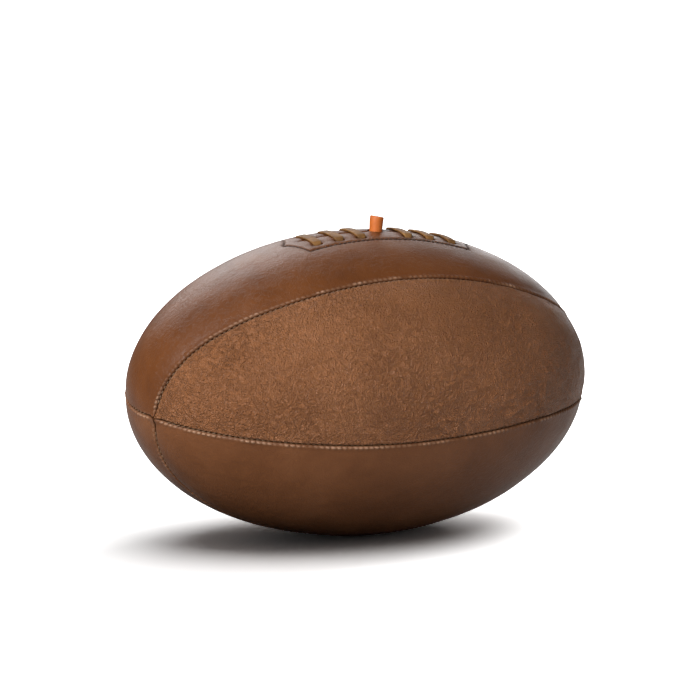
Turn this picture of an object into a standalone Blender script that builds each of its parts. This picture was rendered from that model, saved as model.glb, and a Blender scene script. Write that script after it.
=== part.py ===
"""Four-panel leather rugby ball, laced over a rubber bladder with a pull-up valve stem.

Metres, +Z up.  The long axis lies along X, the laced slit faces up, and the ball
rests at the origin, which is the middle of its footprint.  Every skin is laid out
on one ellipsoid: a point is found by its ring angle along the seam axis and its
angle around it, and then goes in along the surface normal by a depth.  The ball is made
around its own centre and then set down on the floor.
"""
from math import atan2, cos, degrees, hypot, pi, radians, sin, sqrt

import bmesh
import bpy
import numpy as np
from mathutils import Euler, Matrix, Vector

# ---- driving dimensions -------------------------------------------------------------
HALF_LENGTH = 0.148                 # centre to tip
HALF_WIDTH = 0.0925                 # centre to side: a size 5 ball, 296 x 185 mm
SEAM_AXIS_YAW = radians(13.0)       # the seams meet beside the tips, as on a hand-sewn ball
SEAM_AXIS_PITCH = radians(-5.2)

# Each seam's angle around the seam axis, in degrees up from the -Y side, at five even
# stations from the -X end to the +X end.
SEAM_STATIONS = (-1.0, -0.5, 0.0, 0.5, 1.0)
SEAMS = {
    "top_front": (70.0, 55.2, 49.8, 41.8, 36.0),
    "front_bottom": (-11.0, -13.2, -13.1, -14.7, -28.0),
    "bottom_back": (-104.0, -88.0, -86.0, -92.0, -104.0),
    "back_top": (-186.0, -202.0, -210.0, -212.0, -214.0),
}
# Panel: the seam on its low side, the seam on its high side, facet columns across it.
PANELS = {
    "front": ("front_bottom", "top_front", 6),
    "top": ("top_front", "back_top", 9),
    "bottom": ("bottom_back", "front_bottom", 7),
    "back": ("back_top", "bottom_back", 10),
}

RINGS = 20                          # facet rings from end to end
END_ANGLE = radians(1.6)            # panels stop this short of the point where seams meet
LEATHER = 0.0020
TURNED_EDGE_DEPTH = 0.0036          # seam allowance, folded into the ball
TURNED_EDGE_WIDTH = 0.0024
SEAM_GAP = 0.0004
GROOVE_WIDTH = 0.0014               # rolled shoulder beside each seam
GROOVE_DEPTH = 0.0012
CLEAR = 0.0003                      # air between pieces that touch

THREAD_RADIUS = 0.00045
THREAD_DEPTH = 0.00035

LINING = 0.0007
LINING_EDGE = 0.0010                # lining stops this far from the turned edge
LINING_FIRST_RING = 2
LINING_DEPTH = LEATHER + CLEAR

LACE_CENTRE = (0.009, -0.0048)      # middle of the lacing, seen from above
LACE_PITCH = 0.0146                 # from thong to thong
FIRST_THONG = 0.0156                # from the valve to the nearest thong
THONG_HOLE_OFFSET = 0.0130          # from the slit to the lace holes
THONG_WIDTH = 0.0058
THONG_THICKNESS = 0.0016
THONG_BEND = 0.0021                 # over the leather's edge
INNER_BEND = 0.0010
HOLE_LENGTH = 0.0070
HOLE_WIDTH = 0.0030
SLIT_HALF_LENGTH = 0.052
SLIT_WIDTH = 0.0022

FACING_DEPTH = 0.0033
FACING_THICKNESS = 0.0014
FACING_HALF_LENGTH = 0.0630
FACING_SHOULDER = 0.0530            # from the middle to the square shoulders
FACING_HALF_WIDTH = 0.0215
FACING_STITCH_INSET = 0.0015
FACING_WINDOW = (0.0670, 0.0260)    # half sizes of the opening in the top lining
FACING_THREAD_RADIUS = 0.00035

TONGUE_DEPTH = 0.0072
TONGUE_THICKNESS = 0.0012
TONGUE_HALF = (0.0560, 0.0110)
INNER_RUN_DEPTH = 0.0058            # the thongs' diagonal runs inside the ball

BLADDER_DEPTH = 0.0046
BLADDER_WALL = 0.0008
BLADDER_LACE_DEPTH = 0.0096         # the bladder lies deeper below the tongue
BLADDER_RINGS = 16
BLADDER_COLUMNS = 24
BLADDER_MOUTH_RADIUS = 0.0056

STEM_RADIUS = 0.0040
STEM_HOLE_RADIUS = 0.0045
STEM_ABOVE = 0.0090                 # stands out of the leather by this much
STEM_FLANGE_RADIUS = 0.0052
STEM_FLANGE = 0.0012
STEM_DEPTH = 0.0166                 # down to the flange's lower face
STEM_NEEDLE_RADIUS = 0.0010
VALVE_POCKET_RADIUS = 0.0027
VALVE_POCKET = 0.0110               # the insert's pocket, up from the stem's lower face
VALVE_CORE_RADIUS = 0.0024
VALVE_CORE_LENGTH = 0.0100
NECK_WALL = 0.0008
NECK_TOP_DEPTH = 0.0093
ROUND_SIDES = 16

# Base colour, roughness and metallic of each material.
MATERIALS = {
    "leather_top": ((0.150, 0.052, 0.022), 0.32, 0.0),
    "leather_front": ((0.165, 0.068, 0.033), 0.55, 0.0),
    "leather_bottom": ((0.115, 0.045, 0.022), 0.42, 0.0),
    "leather_back": ((0.150, 0.058, 0.027), 0.45, 0.0),
    "canvas": ((0.620, 0.540, 0.400), 0.90, 0.0),
    "seam_thread": ((0.240, 0.140, 0.080), 0.70, 0.0),
    "dark_thread": ((0.045, 0.028, 0.022), 0.70, 0.0),
    "thong": ((0.300, 0.180, 0.075), 0.50, 0.0),
    "rough_leather": ((0.330, 0.190, 0.095), 0.85, 0.0),
    "bladder_rubber": ((0.050, 0.045, 0.042), 0.60, 0.0),
    "orange_rubber": ((0.720, 0.200, 0.045), 0.50, 0.0),
    "valve_rubber": ((0.030, 0.030, 0.032), 0.50, 0.0),
}

SEAM_AXIS = Euler((0.0, SEAM_AXIS_PITCH, SEAM_AXIS_YAW), "XYZ").to_matrix()
CURVES = {name: np.polyfit(SEAM_STATIONS, angles, len(angles) - 1) for name, angles in SEAMS.items()}


# ---- the ellipsoid ------------------------------------------------------------------
def inward(sphere_point, depth):
    """The ellipsoid's point over a unit-sphere point, moved in along the normal."""
    q = sphere_point
    point = Vector((HALF_LENGTH * q.x, HALF_WIDTH * q.y, HALF_WIDTH * q.z))
    normal = Vector((q.x / HALF_LENGTH, q.y / HALF_WIDTH, q.z / HALF_WIDTH)).normalized()
    return point - depth * normal


def skin(ring, around, depth):
    """A point by ring angle from the -X end and by degrees around the seam axis."""
    turn = radians(around)
    q = Vector((-cos(ring), -sin(ring) * cos(turn), sin(ring) * sin(turn)))
    return inward(SEAM_AXIS @ q, depth)


def over(x, y, depth):
    """The point of the upper skin over (x, y)."""
    qx = x / HALF_LENGTH
    qy = y / HALF_WIDTH
    return inward(Vector((qx, qy, sqrt(1.0 - qx * qx - qy * qy))), depth)


def normal_near(point):
    """The skin's normal at or just under a point of it."""
    wide = HALF_WIDTH ** 2
    return Vector((point.x / HALF_LENGTH ** 2, point.y / wide, point.z / wide)).normalized()


def seam_angle(name, ring):
    return float(np.polyval(CURVES[name], -cos(ring)))


def ring_angle(index, count=RINGS):
    return END_ANGLE + (pi - 2.0 * END_ANGLE) * index / count


# ---- mesh helpers -------------------------------------------------------------------
def make_material(name):
    colour, roughness, metallic = MATERIALS[name]
    material = bpy.data.materials.get(name) or bpy.data.materials.new(name)
    material.use_nodes = True
    shader = material.node_tree.nodes["Principled BSDF"]
    shader.inputs["Base Color"].default_value = (*colour, 1.0)
    shader.inputs["Roughness"].default_value = roughness
    shader.inputs["Metallic"].default_value = metallic
    material.diffuse_color = (*colour, 1.0)
    return material


def add_object(name, points, faces, material, origin=(0.0, 0.0, 0.0)):
    """A closed, smooth-shaded object whose faces point out."""
    origin = Vector(origin)
    mesh = bpy.data.meshes.new(name)
    mesh.from_pydata([Vector(p) - origin for p in points], [], faces)
    work = bmesh.new()
    work.from_mesh(mesh)
    bmesh.ops.triangulate(work, faces=[f for f in work.faces if len(f.verts) == 4])
    bmesh.ops.recalc_face_normals(work, faces=work.faces)
    work.to_mesh(mesh)
    work.free()
    mesh.shade_smooth()
    mesh.set_sharp_from_angle(angle=radians(35.0))
    mesh.materials.append(make_material(material))
    item = bpy.data.objects.new(name, mesh)
    item.location = origin
    bpy.context.scene.collection.objects.link(item)
    return item


def bridge_loops(loops, closed=False):
    """Faces between equal closed loops of points, with end caps unless closed."""
    points = [p for loop in loops for p in loop]
    size = len(loops[0])
    count = len(loops)
    faces = []
    for row in range(count if closed else count - 1):
        here = row * size
        there = ((row + 1) % count) * size
        for i in range(size):
            j = (i + 1) % size
            faces.append((here + i, here + j, there + j, there + i))
    if not closed:
        faces.append(tuple(range(size)))
        faces.append(tuple((count - 1) * size + i for i in range(size)))
    return points, faces


def bridge_sheets(outer, inner):
    """A closed plate between two equal grids of points."""
    rows = len(outer)
    columns = len(outer[0])
    points = [p for row in outer for p in row] + [p for row in inner for p in row]
    half = rows * columns
    faces = []
    for r in range(rows - 1):
        for c in range(columns - 1):
            a = r * columns + c
            b = a + columns
            faces.append((a, a + 1, b + 1, b))
            faces.append((half + a, half + b, half + b + 1, half + a + 1))
    rim = [c for c in range(columns)]
    rim += [r * columns + columns - 1 for r in range(1, rows)]
    rim += [(rows - 1) * columns + c for c in range(columns - 2, -1, -1)]
    rim += [r * columns for r in range(rows - 2, 0, -1)]
    for i, a in enumerate(rim):
        b = rim[(i + 1) % len(rim)]
        faces.append((a, half + a, half + b, b))
    return points, faces


def circle(centre, radius, sides=ROUND_SIDES):
    return [
        Vector(centre) + radius * Vector((cos(2 * pi * i / sides), sin(2 * pi * i / sides), 0.0))
        for i in range(sides)
    ]


def tube(path, radius, sides, closed=False):
    """Loops of a round cord along a path, carried along without twist."""
    loops = []
    count = len(path)
    for i, point in enumerate(path):
        before = path[(i - 1) % count] if closed or i else point
        after = path[(i + 1) % count] if closed or i < count - 1 else point
        along = (after - before).normalized()
        side = along.cross(normal_near(point)).normalized()
        up = side.cross(along)
        loops.append([
            point + radius * (cos(2 * pi * k / sides) * side + sin(2 * pi * k / sides) * up)
            for k in range(sides)
        ])
    return loops


def add_cutter(name, points, faces, targets):
    """A hidden guide that is taken out of each target."""
    cutter = add_object(name, points, faces, "canvas")
    cutter.hide_render = True
    cutter.display_type = "WIRE"
    for target in targets:
        cut = target.modifiers.new(name, "BOOLEAN")
        cut.operation = "DIFFERENCE"
        cut.solver = "EXACT"
        cut.object = cutter


def upright_bar(x, y, size_x, size_y, depths):
    """Corner loops of a bar through the upper skin, along the skin's normal."""
    low, high = depths
    return [
        [over(x + sx * size_x / 2, y + sy * size_y / 2, depth)
         for sx, sy in ((-1, -1), (1, -1), (1, 1), (-1, 1))]
        for depth in (high, low)
    ]


# ---- leather panels, lining and seams -----------------------------------------------
def panel_sections(panel, ring):
    """Outer and inner rows of (degrees around, depth) across a panel at one ring."""
    low_seam, high_seam, columns = PANELS[panel]
    low = seam_angle(low_seam, ring)
    high = seam_angle(high_seam, ring)
    high += 360.0 * (high < low)
    reach = HALF_WIDTH * sin(ring)
    arc = radians(high - low) * reach
    butt = degrees(SEAM_GAP / 2 / reach)
    shoulder = degrees(min(GROOVE_WIDTH, 0.24 * arc) / reach)
    fold = degrees(min(TURNED_EDGE_WIDTH, 0.34 * arc) / reach)
    draft = 0.12 * fold
    grid = np.linspace(low + butt + fold, high - butt - fold, columns + 1)
    outer = [(low + butt, GROOVE_DEPTH), (low + butt + shoulder, 0.0)]
    outer += [(a, 0.0) for a in grid]
    outer += [(high - butt - shoulder, 0.0), (high - butt, GROOVE_DEPTH)]
    inner = [(low + butt, TURNED_EDGE_DEPTH), (low + butt + fold - draft, TURNED_EDGE_DEPTH)]
    inner += [(a, LEATHER) for a in grid]
    inner += [(high - butt - fold + draft, TURNED_EDGE_DEPTH), (high - butt, TURNED_EDGE_DEPTH)]
    return outer, inner


def add_panel(panel):
    outer = []
    inner = []
    for index in range(RINGS + 1):
        ring = ring_angle(index)
        top, under = panel_sections(panel, ring)
        outer.append([skin(ring, around, depth) for around, depth in top])
        inner.append([skin(ring, around, depth) for around, depth in under])
    return add_object("panel_" + panel, *bridge_sheets(outer, inner), "leather_" + panel)


def add_lining(panel):
    outer = []
    inner = []
    for index in range(LINING_FIRST_RING, RINGS - LINING_FIRST_RING + 1):
        ring = ring_angle(index)
        columns = [around for around, depth in panel_sections(panel, ring)[1][2:-2]]
        margin = degrees(LINING_EDGE / (HALF_WIDTH * sin(ring)))
        columns[0] += margin
        columns[-1] -= margin
        outer.append([skin(ring, around, LINING_DEPTH) for around in columns])
        inner.append([skin(ring, around, LINING_DEPTH + LINING) for around in columns])
    return add_object("lining_" + panel, *bridge_sheets(outer, inner), "canvas")


def add_seam_thread(seam):
    path = []
    for index in range(1, RINGS):
        ring = ring_angle(index)
        path.append(skin(ring, seam_angle(seam, ring), THREAD_DEPTH))
    points, faces = bridge_loops(tube(path, THREAD_RADIUS, 6))
    return add_object("seam_thread_" + seam, points, faces, "seam_thread")


# ---- lacing -------------------------------------------------------------------------
def facing_half_width(along):
    """Half width of the facing: square in the middle, with concave, pointed ends."""
    reach = abs(along)
    if reach <= FACING_SHOULDER:
        return FACING_HALF_WIDTH * (1.0 - 0.10 * cos(pi * reach / (2 * FACING_SHOULDER)))
    taper = (FACING_HALF_LENGTH - reach) / (FACING_HALF_LENGTH - FACING_SHOULDER)
    return 0.0012 + (FACING_HALF_WIDTH - 0.0012) * taper ** 1.7


def facing_stations():
    middle = np.linspace(-FACING_SHOULDER, FACING_SHOULDER, 11)
    point = np.linspace(FACING_SHOULDER, FACING_HALF_LENGTH, 5)[1:]
    return [*(-point[::-1]), *middle, *point]


def add_facing():
    """The reinforcing leather sewn under the slit."""
    x0, y0 = LACE_CENTRE
    sheets = []
    for depth in (FACING_DEPTH, FACING_DEPTH + FACING_THICKNESS):
        rows = []
        for along in facing_stations():
            half = facing_half_width(along)
            rows.append([over(x0 + along, y0 + half * k / 2, depth) for k in range(-2, 3)])
        sheets.append(rows)
    return add_object("lace_facing", *bridge_sheets(*sheets), "rough_leather")


def add_facing_thread():
    """The line of stitching that holds the facing, seen on the top panel."""
    x0, y0 = LACE_CENTRE
    lift = -(FACING_THREAD_RADIUS + CLEAR)
    stations = facing_stations()
    side = [(a * 0.97, facing_half_width(a) - FACING_STITCH_INSET) for a in stations[1:-1]]
    outline = [(a, w) for a, w in side] + [(a, -w) for a, w in reversed(side)]
    path = [over(x0 + a, y0 + w, lift) for a, w in outline]
    points, faces = bridge_loops(tube(path, FACING_THREAD_RADIUS, 6, closed=True), closed=True)
    return add_object("lace_facing_thread", points, faces, "dark_thread")


def thong_stations(side):
    """Places of the three thongs on one side of the valve, from the end inwards."""
    return [side * (FIRST_THONG + LACE_PITCH * k) for k in (2, 1, 0)]


def corner(y, level, turn_y, turn_level):
    """Points of a small bend between two runs, as (across, height) pairs."""
    points = []
    for k in range(5):
        a = pi / 2 * k / 4
        points.append((y + turn_y * THONG_BEND * (1 - cos(a)), level + turn_level * THONG_BEND * (1 - sin(a))))
    return points


def crossing(x0, y0, along):
    """Centre line of one thong: up a hole, over the slit and down the other hole."""
    top = CLEAR + THONG_THICKNESS / 2
    far = THONG_HOLE_OFFSET
    rise = corner(far, top, -1, -1)
    fall = [(-y, level) for y, level in reversed(rise)]
    middle = [(far * k / 4, top) for k in (2, 1, 0, -1, -2)]
    line = [(far, -INNER_RUN_DEPTH + INNER_BEND)] + rise + middle + fall
    line += [(-far, -INNER_RUN_DEPTH + INNER_BEND)]
    return [over(x0 + along, y0 + y, -level) for y, level in line]


def add_lace(name, side):
    """One leather thong: three crossings outside, joined by diagonal runs inside."""
    x0, y0 = LACE_CENTRE
    stations = thong_stations(side)
    under = THONG_HOLE_OFFSET - INNER_BEND
    path = [over(x0 + stations[0], y0 + y, INNER_RUN_DEPTH) for y in (0.003, under)]
    for i, along in enumerate(stations):
        path += crossing(x0, y0, along)
        if i < len(stations) - 1:
            step = stations[i + 1] - along
            for k in range(5):
                share = k / 4
                y = under * (2 * share - 1)
                path.append(over(x0 + along + step * share, y0 + y, INNER_RUN_DEPTH))
    path += [over(x0 + stations[-1], y0 - y, INNER_RUN_DEPTH) for y in (under, 0.003)]
    loops = []
    for i, point in enumerate(path):
        before = path[max(i - 1, 0)]
        after = path[min(i + 1, len(path) - 1)]
        outward = normal_near(point)
        across = (Vector((1.0, 0.0, 0.0)) - outward.x * outward).normalized()
        up = across.cross(after - before).normalized()
        half = THONG_WIDTH / 2
        rise = THONG_THICKNESS / 2
        loops.append([
            point + sx * half * across + su * rise * up
            for sx, su in ((-1, -1), (1, -1), (1, 1), (-1, 1))
        ])
    return add_object(name, *bridge_loops(loops), "thong")


def add_tongue():
    """The leather tongue between the laces and the bladder."""
    x0, y0 = LACE_CENTRE
    half_x, half_y = TONGUE_HALF
    sheets = []
    for depth in (TONGUE_DEPTH, TONGUE_DEPTH + TONGUE_THICKNESS):
        rows = []
        for k in range(-7, 8):
            end = sqrt(max(0.0, 1.0 - (k / 7) ** 8))
            half = half_y * (0.45 + 0.55 * end)
            rows.append([over(x0 + half_x * k / 7, y0 + half * c / 2, depth) for c in range(-2, 3)])
        sheets.append(rows)
    return add_object("tongue", *bridge_sheets(*sheets), "rough_leather")


def cut_lacing(top_panel, top_lining, facing, tongue):
    """The slit, the stem's hole, the lace holes and the window in the lining."""
    x0, y0 = LACE_CENTRE
    deep = FACING_DEPTH + FACING_THICKNESS + 0.0015
    through = (deep, -0.002)
    slit = [
        [over(x0 + SLIT_HALF_LENGTH * k / 4, y0 + side * SLIT_WIDTH / 2, depth)
         for side, depth in ((-1, deep), (1, deep), (1, -0.002), (-1, -0.002))]
        for k in range(-4, 5)
    ]
    add_cutter("slit_cutter", *bridge_loops(slit), (top_panel, facing))
    for side in (-1, 1):
        for along in thong_stations(side):
            for hand in (-1, 1):
                hole = upright_bar(x0 + along, y0 + hand * THONG_HOLE_OFFSET, HOLE_LENGTH, HOLE_WIDTH, through)
                label = "hole_cutter_%d" % len(top_panel.modifiers)
                add_cutter(label, *bridge_loops(hole), (top_panel, facing))
    floor = surface_height() - TONGUE_DEPTH - TONGUE_THICKNESS - 0.002
    bore = [circle((x0, y0, z), STEM_HOLE_RADIUS) for z in (floor, surface_height() + 0.003)]
    add_cutter("stem_cutter", *bridge_loops(bore), (top_panel, facing, tongue))
    half_x, half_y = FACING_WINDOW
    window = [
        [over(x0 + half_x * sx, y0 + half_y * sy, depth) for sx, sy in ((-1, -1), (1, -1), (1, 1), (-1, 1))]
        for depth in (0.012, -0.030)
    ]
    add_cutter("window_cutter", *bridge_loops(window), (top_lining,))


def surface_height():
    return over(*LACE_CENTRE, 0.0).z


# ---- bladder and valve --------------------------------------------------------------
def bladder_depth(sphere_point):
    """The bladder lies against the lining, and deeper below the tongue."""
    x0, y0 = LACE_CENTRE
    if sphere_point.z < 0.0:
        return BLADDER_DEPTH
    along = (sphere_point.x * HALF_LENGTH - x0) / 0.105
    across = (sphere_point.y * HALF_WIDTH - y0) / 0.052
    far = min(1.0, max(0.0, 1.9 * (1.0 - hypot(along, across))))
    blend = far * far * (3.0 - 2.0 * far)
    return BLADDER_DEPTH + (BLADDER_LACE_DEPTH - BLADDER_DEPTH) * blend


def add_bladder():
    """The hollow bladder, cut open at its mouth, where the neck joins it."""
    skins = []
    for extra in (0.0, BLADDER_WALL):
        rings = []
        for index in range(1, BLADDER_RINGS):
            ring = pi * index / BLADDER_RINGS
            loop = []
            for k in range(BLADDER_COLUMNS):
                turn = 2 * pi * k / BLADDER_COLUMNS
                q = Vector((-cos(ring), -sin(ring) * cos(turn), sin(ring) * sin(turn)))
                loop.append(inward(q, bladder_depth(q) + extra))
            rings.append(loop)
        skins.append(rings)
    points = []
    faces = []
    for rings in skins:
        base = len(points)
        wall_points, wall_faces = bridge_loops(rings)
        points += wall_points
        faces += [tuple(base + i for i in face) for face in wall_faces if len(face) == 4]
        depth = BLADDER_DEPTH + (BLADDER_WALL if base else 0.0)
        for end, first in ((-1, 0), (1, (len(rings) - 1) * BLADDER_COLUMNS)):
            points.append(inward(Vector((end, 0.0, 0.0)), depth))
            for k in range(BLADDER_COLUMNS):
                j = (k + 1) % BLADDER_COLUMNS
                faces.append((base + first + k, base + first + j, len(points) - 1))
    bladder = add_object("bladder", points, faces, "bladder_rubber")
    flip_inner_skin(bladder.data, len(points) // 2)
    x0, y0 = LACE_CENTRE
    mouth = [
        circle((x0, y0, surface_height() - depth), BLADDER_MOUTH_RADIUS) for depth in (0.014, 0.006)
    ]
    add_cutter("mouth_cutter", *bridge_loops(mouth), (bladder,))
    return bladder


def flip_inner_skin(mesh, first_inner_point):
    """Turn the inner skin's faces towards the hollow, away from the rubber."""
    work = bmesh.new()
    work.from_mesh(mesh)
    for face in work.faces:
        outside = face.calc_center_median().dot(face.normal) > 0.0
        inner = face.verts[0].index >= first_inner_point
        if outside == inner:
            face.normal_flip()
    work.to_mesh(mesh)
    work.free()


def add_neck():
    """The thin sleeve that joins the bladder's mouth to the foot of the stem."""
    x0, y0 = LACE_CENTRE
    high = surface_height() - NECK_TOP_DEPTH
    low = surface_height() - STEM_DEPTH + STEM_FLANGE + CLEAR
    inner = STEM_RADIUS + 0.0003
    outer = inner + NECK_WALL
    loops = [
        circle((x0, y0, low), outer),
        circle((x0, y0, high), outer),
        circle((x0, y0, high), inner),
        circle((x0, y0, low), inner),
    ]
    return add_object("bladder_neck", *bridge_loops(loops, closed=True), "bladder_rubber")


def add_valve_stem():
    """The rubber stem with its foot flange, needle passage and valve pocket."""
    x0, y0 = LACE_CENTRE
    foot = surface_height() - STEM_DEPTH
    tip = surface_height() + STEM_ABOVE
    profile = [
        (foot, STEM_FLANGE_RADIUS),
        (foot + STEM_FLANGE, STEM_FLANGE_RADIUS),
        (foot + STEM_FLANGE, STEM_RADIUS),
        (tip - 0.0006, STEM_RADIUS),
        (tip, STEM_RADIUS - 0.0006),
        (tip, STEM_NEEDLE_RADIUS + 0.0005),
        (tip - 0.0010, STEM_NEEDLE_RADIUS),
        (foot + VALVE_POCKET, STEM_NEEDLE_RADIUS),
        (foot + VALVE_POCKET, VALVE_POCKET_RADIUS),
        (foot, VALVE_POCKET_RADIUS),
    ]
    loops = [circle((x0, y0, z), radius) for z, radius in profile]
    points, faces = bridge_loops(loops, closed=True)
    return add_object("valve_stem", points, faces, "orange_rubber", origin=(x0, y0, surface_height()))


def add_valve_core():
    """The self-closing insert that a needle opens."""
    x0, y0 = LACE_CENTRE
    foot = surface_height() - STEM_DEPTH + 0.0005
    profile = [
        (foot, VALVE_CORE_RADIUS * 0.6),
        (foot + 0.0030, VALVE_CORE_RADIUS),
        (foot + VALVE_CORE_LENGTH, VALVE_CORE_RADIUS),
        (foot + VALVE_CORE_LENGTH, STEM_NEEDLE_RADIUS),
        (foot + 0.0035, STEM_NEEDLE_RADIUS * 0.8),
        (foot, 0.0003),
    ]
    loops = [circle((x0, y0, z), radius, 16) for z, radius in profile]
    points, faces = bridge_loops(loops, closed=True)
    return add_object("valve_core", points, faces, "valve_rubber", origin=(x0, y0, surface_height()))


def set_down(panels):
    """Lift everything so that the ball's lowest point is at the origin's height."""
    lowest = min(point.co.z for panel in panels for point in panel.data.vertices)
    for item in bpy.data.objects:
        item.location.z -= lowest


def build():
    for item in list(bpy.data.objects):
        bpy.data.objects.remove(item, do_unlink=True)
    panels = {name: add_panel(name) for name in PANELS}
    linings = {name: add_lining(name) for name in PANELS}
    for seam in SEAMS:
        add_seam_thread(seam)
    facing = add_facing()
    add_facing_thread()
    tongue = add_tongue()
    add_lace("lace_left", -1)
    add_lace("lace_right", 1)
    cut_lacing(panels["top"], linings["top"], facing, tongue)
    add_bladder()
    add_neck()
    add_valve_stem()
    add_valve_core()
    set_down(panels.values())


build()
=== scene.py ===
"""Looks of the laced four-panel rugby ball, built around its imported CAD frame."""
from math import cos, pi, radians, sin, sqrt
from typing import NamedTuple

import bmesh
import bpy
import numpy as np
from mathutils import Euler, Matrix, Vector


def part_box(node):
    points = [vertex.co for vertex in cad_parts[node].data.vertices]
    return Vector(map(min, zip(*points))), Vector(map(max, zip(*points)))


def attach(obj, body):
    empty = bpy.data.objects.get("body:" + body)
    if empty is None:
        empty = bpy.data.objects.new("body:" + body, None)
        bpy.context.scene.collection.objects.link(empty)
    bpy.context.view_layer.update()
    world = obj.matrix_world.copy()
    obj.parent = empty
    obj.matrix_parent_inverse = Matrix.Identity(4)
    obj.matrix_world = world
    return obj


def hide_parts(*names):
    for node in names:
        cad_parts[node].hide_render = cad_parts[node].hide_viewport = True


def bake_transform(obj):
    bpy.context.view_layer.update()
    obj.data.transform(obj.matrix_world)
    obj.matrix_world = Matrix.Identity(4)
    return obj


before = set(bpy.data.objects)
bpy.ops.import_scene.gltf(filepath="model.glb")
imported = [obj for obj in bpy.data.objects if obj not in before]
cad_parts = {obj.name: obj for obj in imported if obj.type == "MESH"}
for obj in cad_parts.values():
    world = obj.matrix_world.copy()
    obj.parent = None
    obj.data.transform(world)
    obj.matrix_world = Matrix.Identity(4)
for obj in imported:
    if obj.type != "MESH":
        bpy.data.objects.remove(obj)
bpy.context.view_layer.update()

# ---- the ball's own sizes, as in the CAD --------------------------------------------
HALF_LENGTH = 0.148
HALF_WIDTH = 0.0925
SEAM_AXIS = np.array(Euler((0.0, radians(-5.2), radians(13.0)), "XYZ").to_matrix())
SEAM_STATIONS = (-1.0, -0.5, 0.0, 0.5, 1.0)
SEAMS = {
    "top_front": (70.0, 55.2, 49.8, 41.8, 36.0),
    "front_bottom": (-11.0, -13.2, -13.1, -14.7, -28.0),
    "bottom_back": (-104.0, -88.0, -86.0, -92.0, -104.0),
    "back_top": (-186.0, -202.0, -210.0, -212.0, -214.0),
}
CURVES = {name: np.polyfit(SEAM_STATIONS, angles, len(angles) - 1)
          for name, angles in SEAMS.items()}
LEATHER = 0.0020
TURNED_EDGE_DEPTH = 0.0036
TURNED_EDGE_WIDTH = 0.0022
SEAM_GAP = 0.0004
LACE_CENTRE = (0.009, -0.0048)
STEM_ABOVE = 0.0090
STEM_RADIUS = 0.0040
BORE_RADIUS = 0.0051                # in the visible panel, wider than the CAD's for the leaning stub
NECK_RADIUS = 0.0051
NECK_WALL = 0.0008
THONG_HOLE_OFFSET = 0.0130
THONG_STATIONS = tuple(0.0156 + 0.0146 * k for k in range(3))
THONG_HOLES = [(side * place, hand * THONG_HOLE_OFFSET)
               for side in (-1, 1) for place in THONG_STATIONS for hand in (-1, 1)]
FACING_HALF_LENGTH = 0.0630
FACING_SHOULDER = 0.0530
FACING_HALF_WIDTH = 0.0215
FACING_TIP_HALF_WIDTH = 0.0012
FACING_MARGIN = 0.0015              # from the facing's edge in to its stitches
FACING_STITCHED_SHARE = 0.985       # of the facing's length


def ellipsoid(q, depth):
    """Points of the ball over unit-sphere points, moved in along the normal."""
    size = np.array((HALF_LENGTH, HALF_WIDTH, HALF_WIDTH))
    normal = q / size
    normal /= np.linalg.norm(normal, axis=-1, keepdims=True)
    return q * size - np.asarray(depth)[..., None] * normal


def over_centred(x, y, depth):
    qx = np.asarray(x) / HALF_LENGTH
    qy = np.asarray(y) / HALF_WIDTH
    qz = np.sqrt(np.maximum(1.0 - qx * qx - qy * qy, 0.0))
    return ellipsoid(np.stack(np.broadcast_arrays(qx, qy, qz), -1), depth)


# The CAD sets its faceted ball down on the floor, so its centre's height is read there.
STEM_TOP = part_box("valve_stem")[1].z
CENTRE = np.array((0.0, 0.0, STEM_TOP - STEM_ABOVE - over_centred(*LACE_CENTRE, 0.0)[2]))


def over(x, y, depth):
    """The point of the upper skin over (x, y), moved in by depth."""
    return over_centred(x, y, depth) + CENTRE


def skin(ring, around, depth):
    """Points by ring angle from the -X end and by degrees around the seam axis."""
    turn = np.radians(around)
    ring = np.broadcast_to(ring, turn.shape)
    q = np.stack((-np.cos(ring), -np.sin(ring) * np.cos(turn), np.sin(ring) * np.sin(turn)), -1)
    return ellipsoid(q @ SEAM_AXIS.T, depth) + CENTRE


def seam_angle(name, ring):
    return np.polyval(CURVES[name], -np.cos(ring))


def normals_at(points):
    grad = (points - CENTRE) / np.array((HALF_LENGTH, HALF_WIDTH, HALF_WIDTH)) ** 2
    return grad / np.linalg.norm(grad, axis=-1, keepdims=True)


# ---- noise and falloffs -------------------------------------------------------------
def lattice(cell, seed):
    """A repeatable pseudo-random value from 0 to 1 for each whole-number cell."""
    x, y, z = (cell[..., axis] for axis in range(3))
    mixed = x * 73856093 ^ y * 19349663 ^ z * 83492791 ^ seed * 2654435761
    mixed = (mixed ^ (mixed >> 13)) * 1274126177
    return ((mixed ^ (mixed >> 16)) & 0xFFFF) / 65535.0


def noise(points, size, seed=1):
    """Smooth value noise from -1 to 1 with features of about that size."""
    scaled = points / size + 1000.0
    cell = np.floor(scaled).astype(np.int64)
    part = scaled - cell
    part = part * part * (3.0 - 2.0 * part)
    total = np.zeros(points.shape[:-1])
    for corner in range(8):
        step = np.array(((corner >> 2) & 1, (corner >> 1) & 1, corner & 1))
        weight = np.prod(np.where(step, part, 1.0 - part), axis=-1)
        total += weight * lattice(cell + step, seed)
    return 2.0 * total - 1.0


def smooth(low, high, value):
    """A soft step from 0 at low to 1 at high."""
    t = np.clip((value - low) / (high - low), 0.0, 1.0)
    return t * t * (3.0 - 2.0 * t)


def bell(value, middle, width):
    """1 at the middle, falling off to 0 a few widths away."""
    return np.exp(-((value - middle) / width) ** 2)


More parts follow.
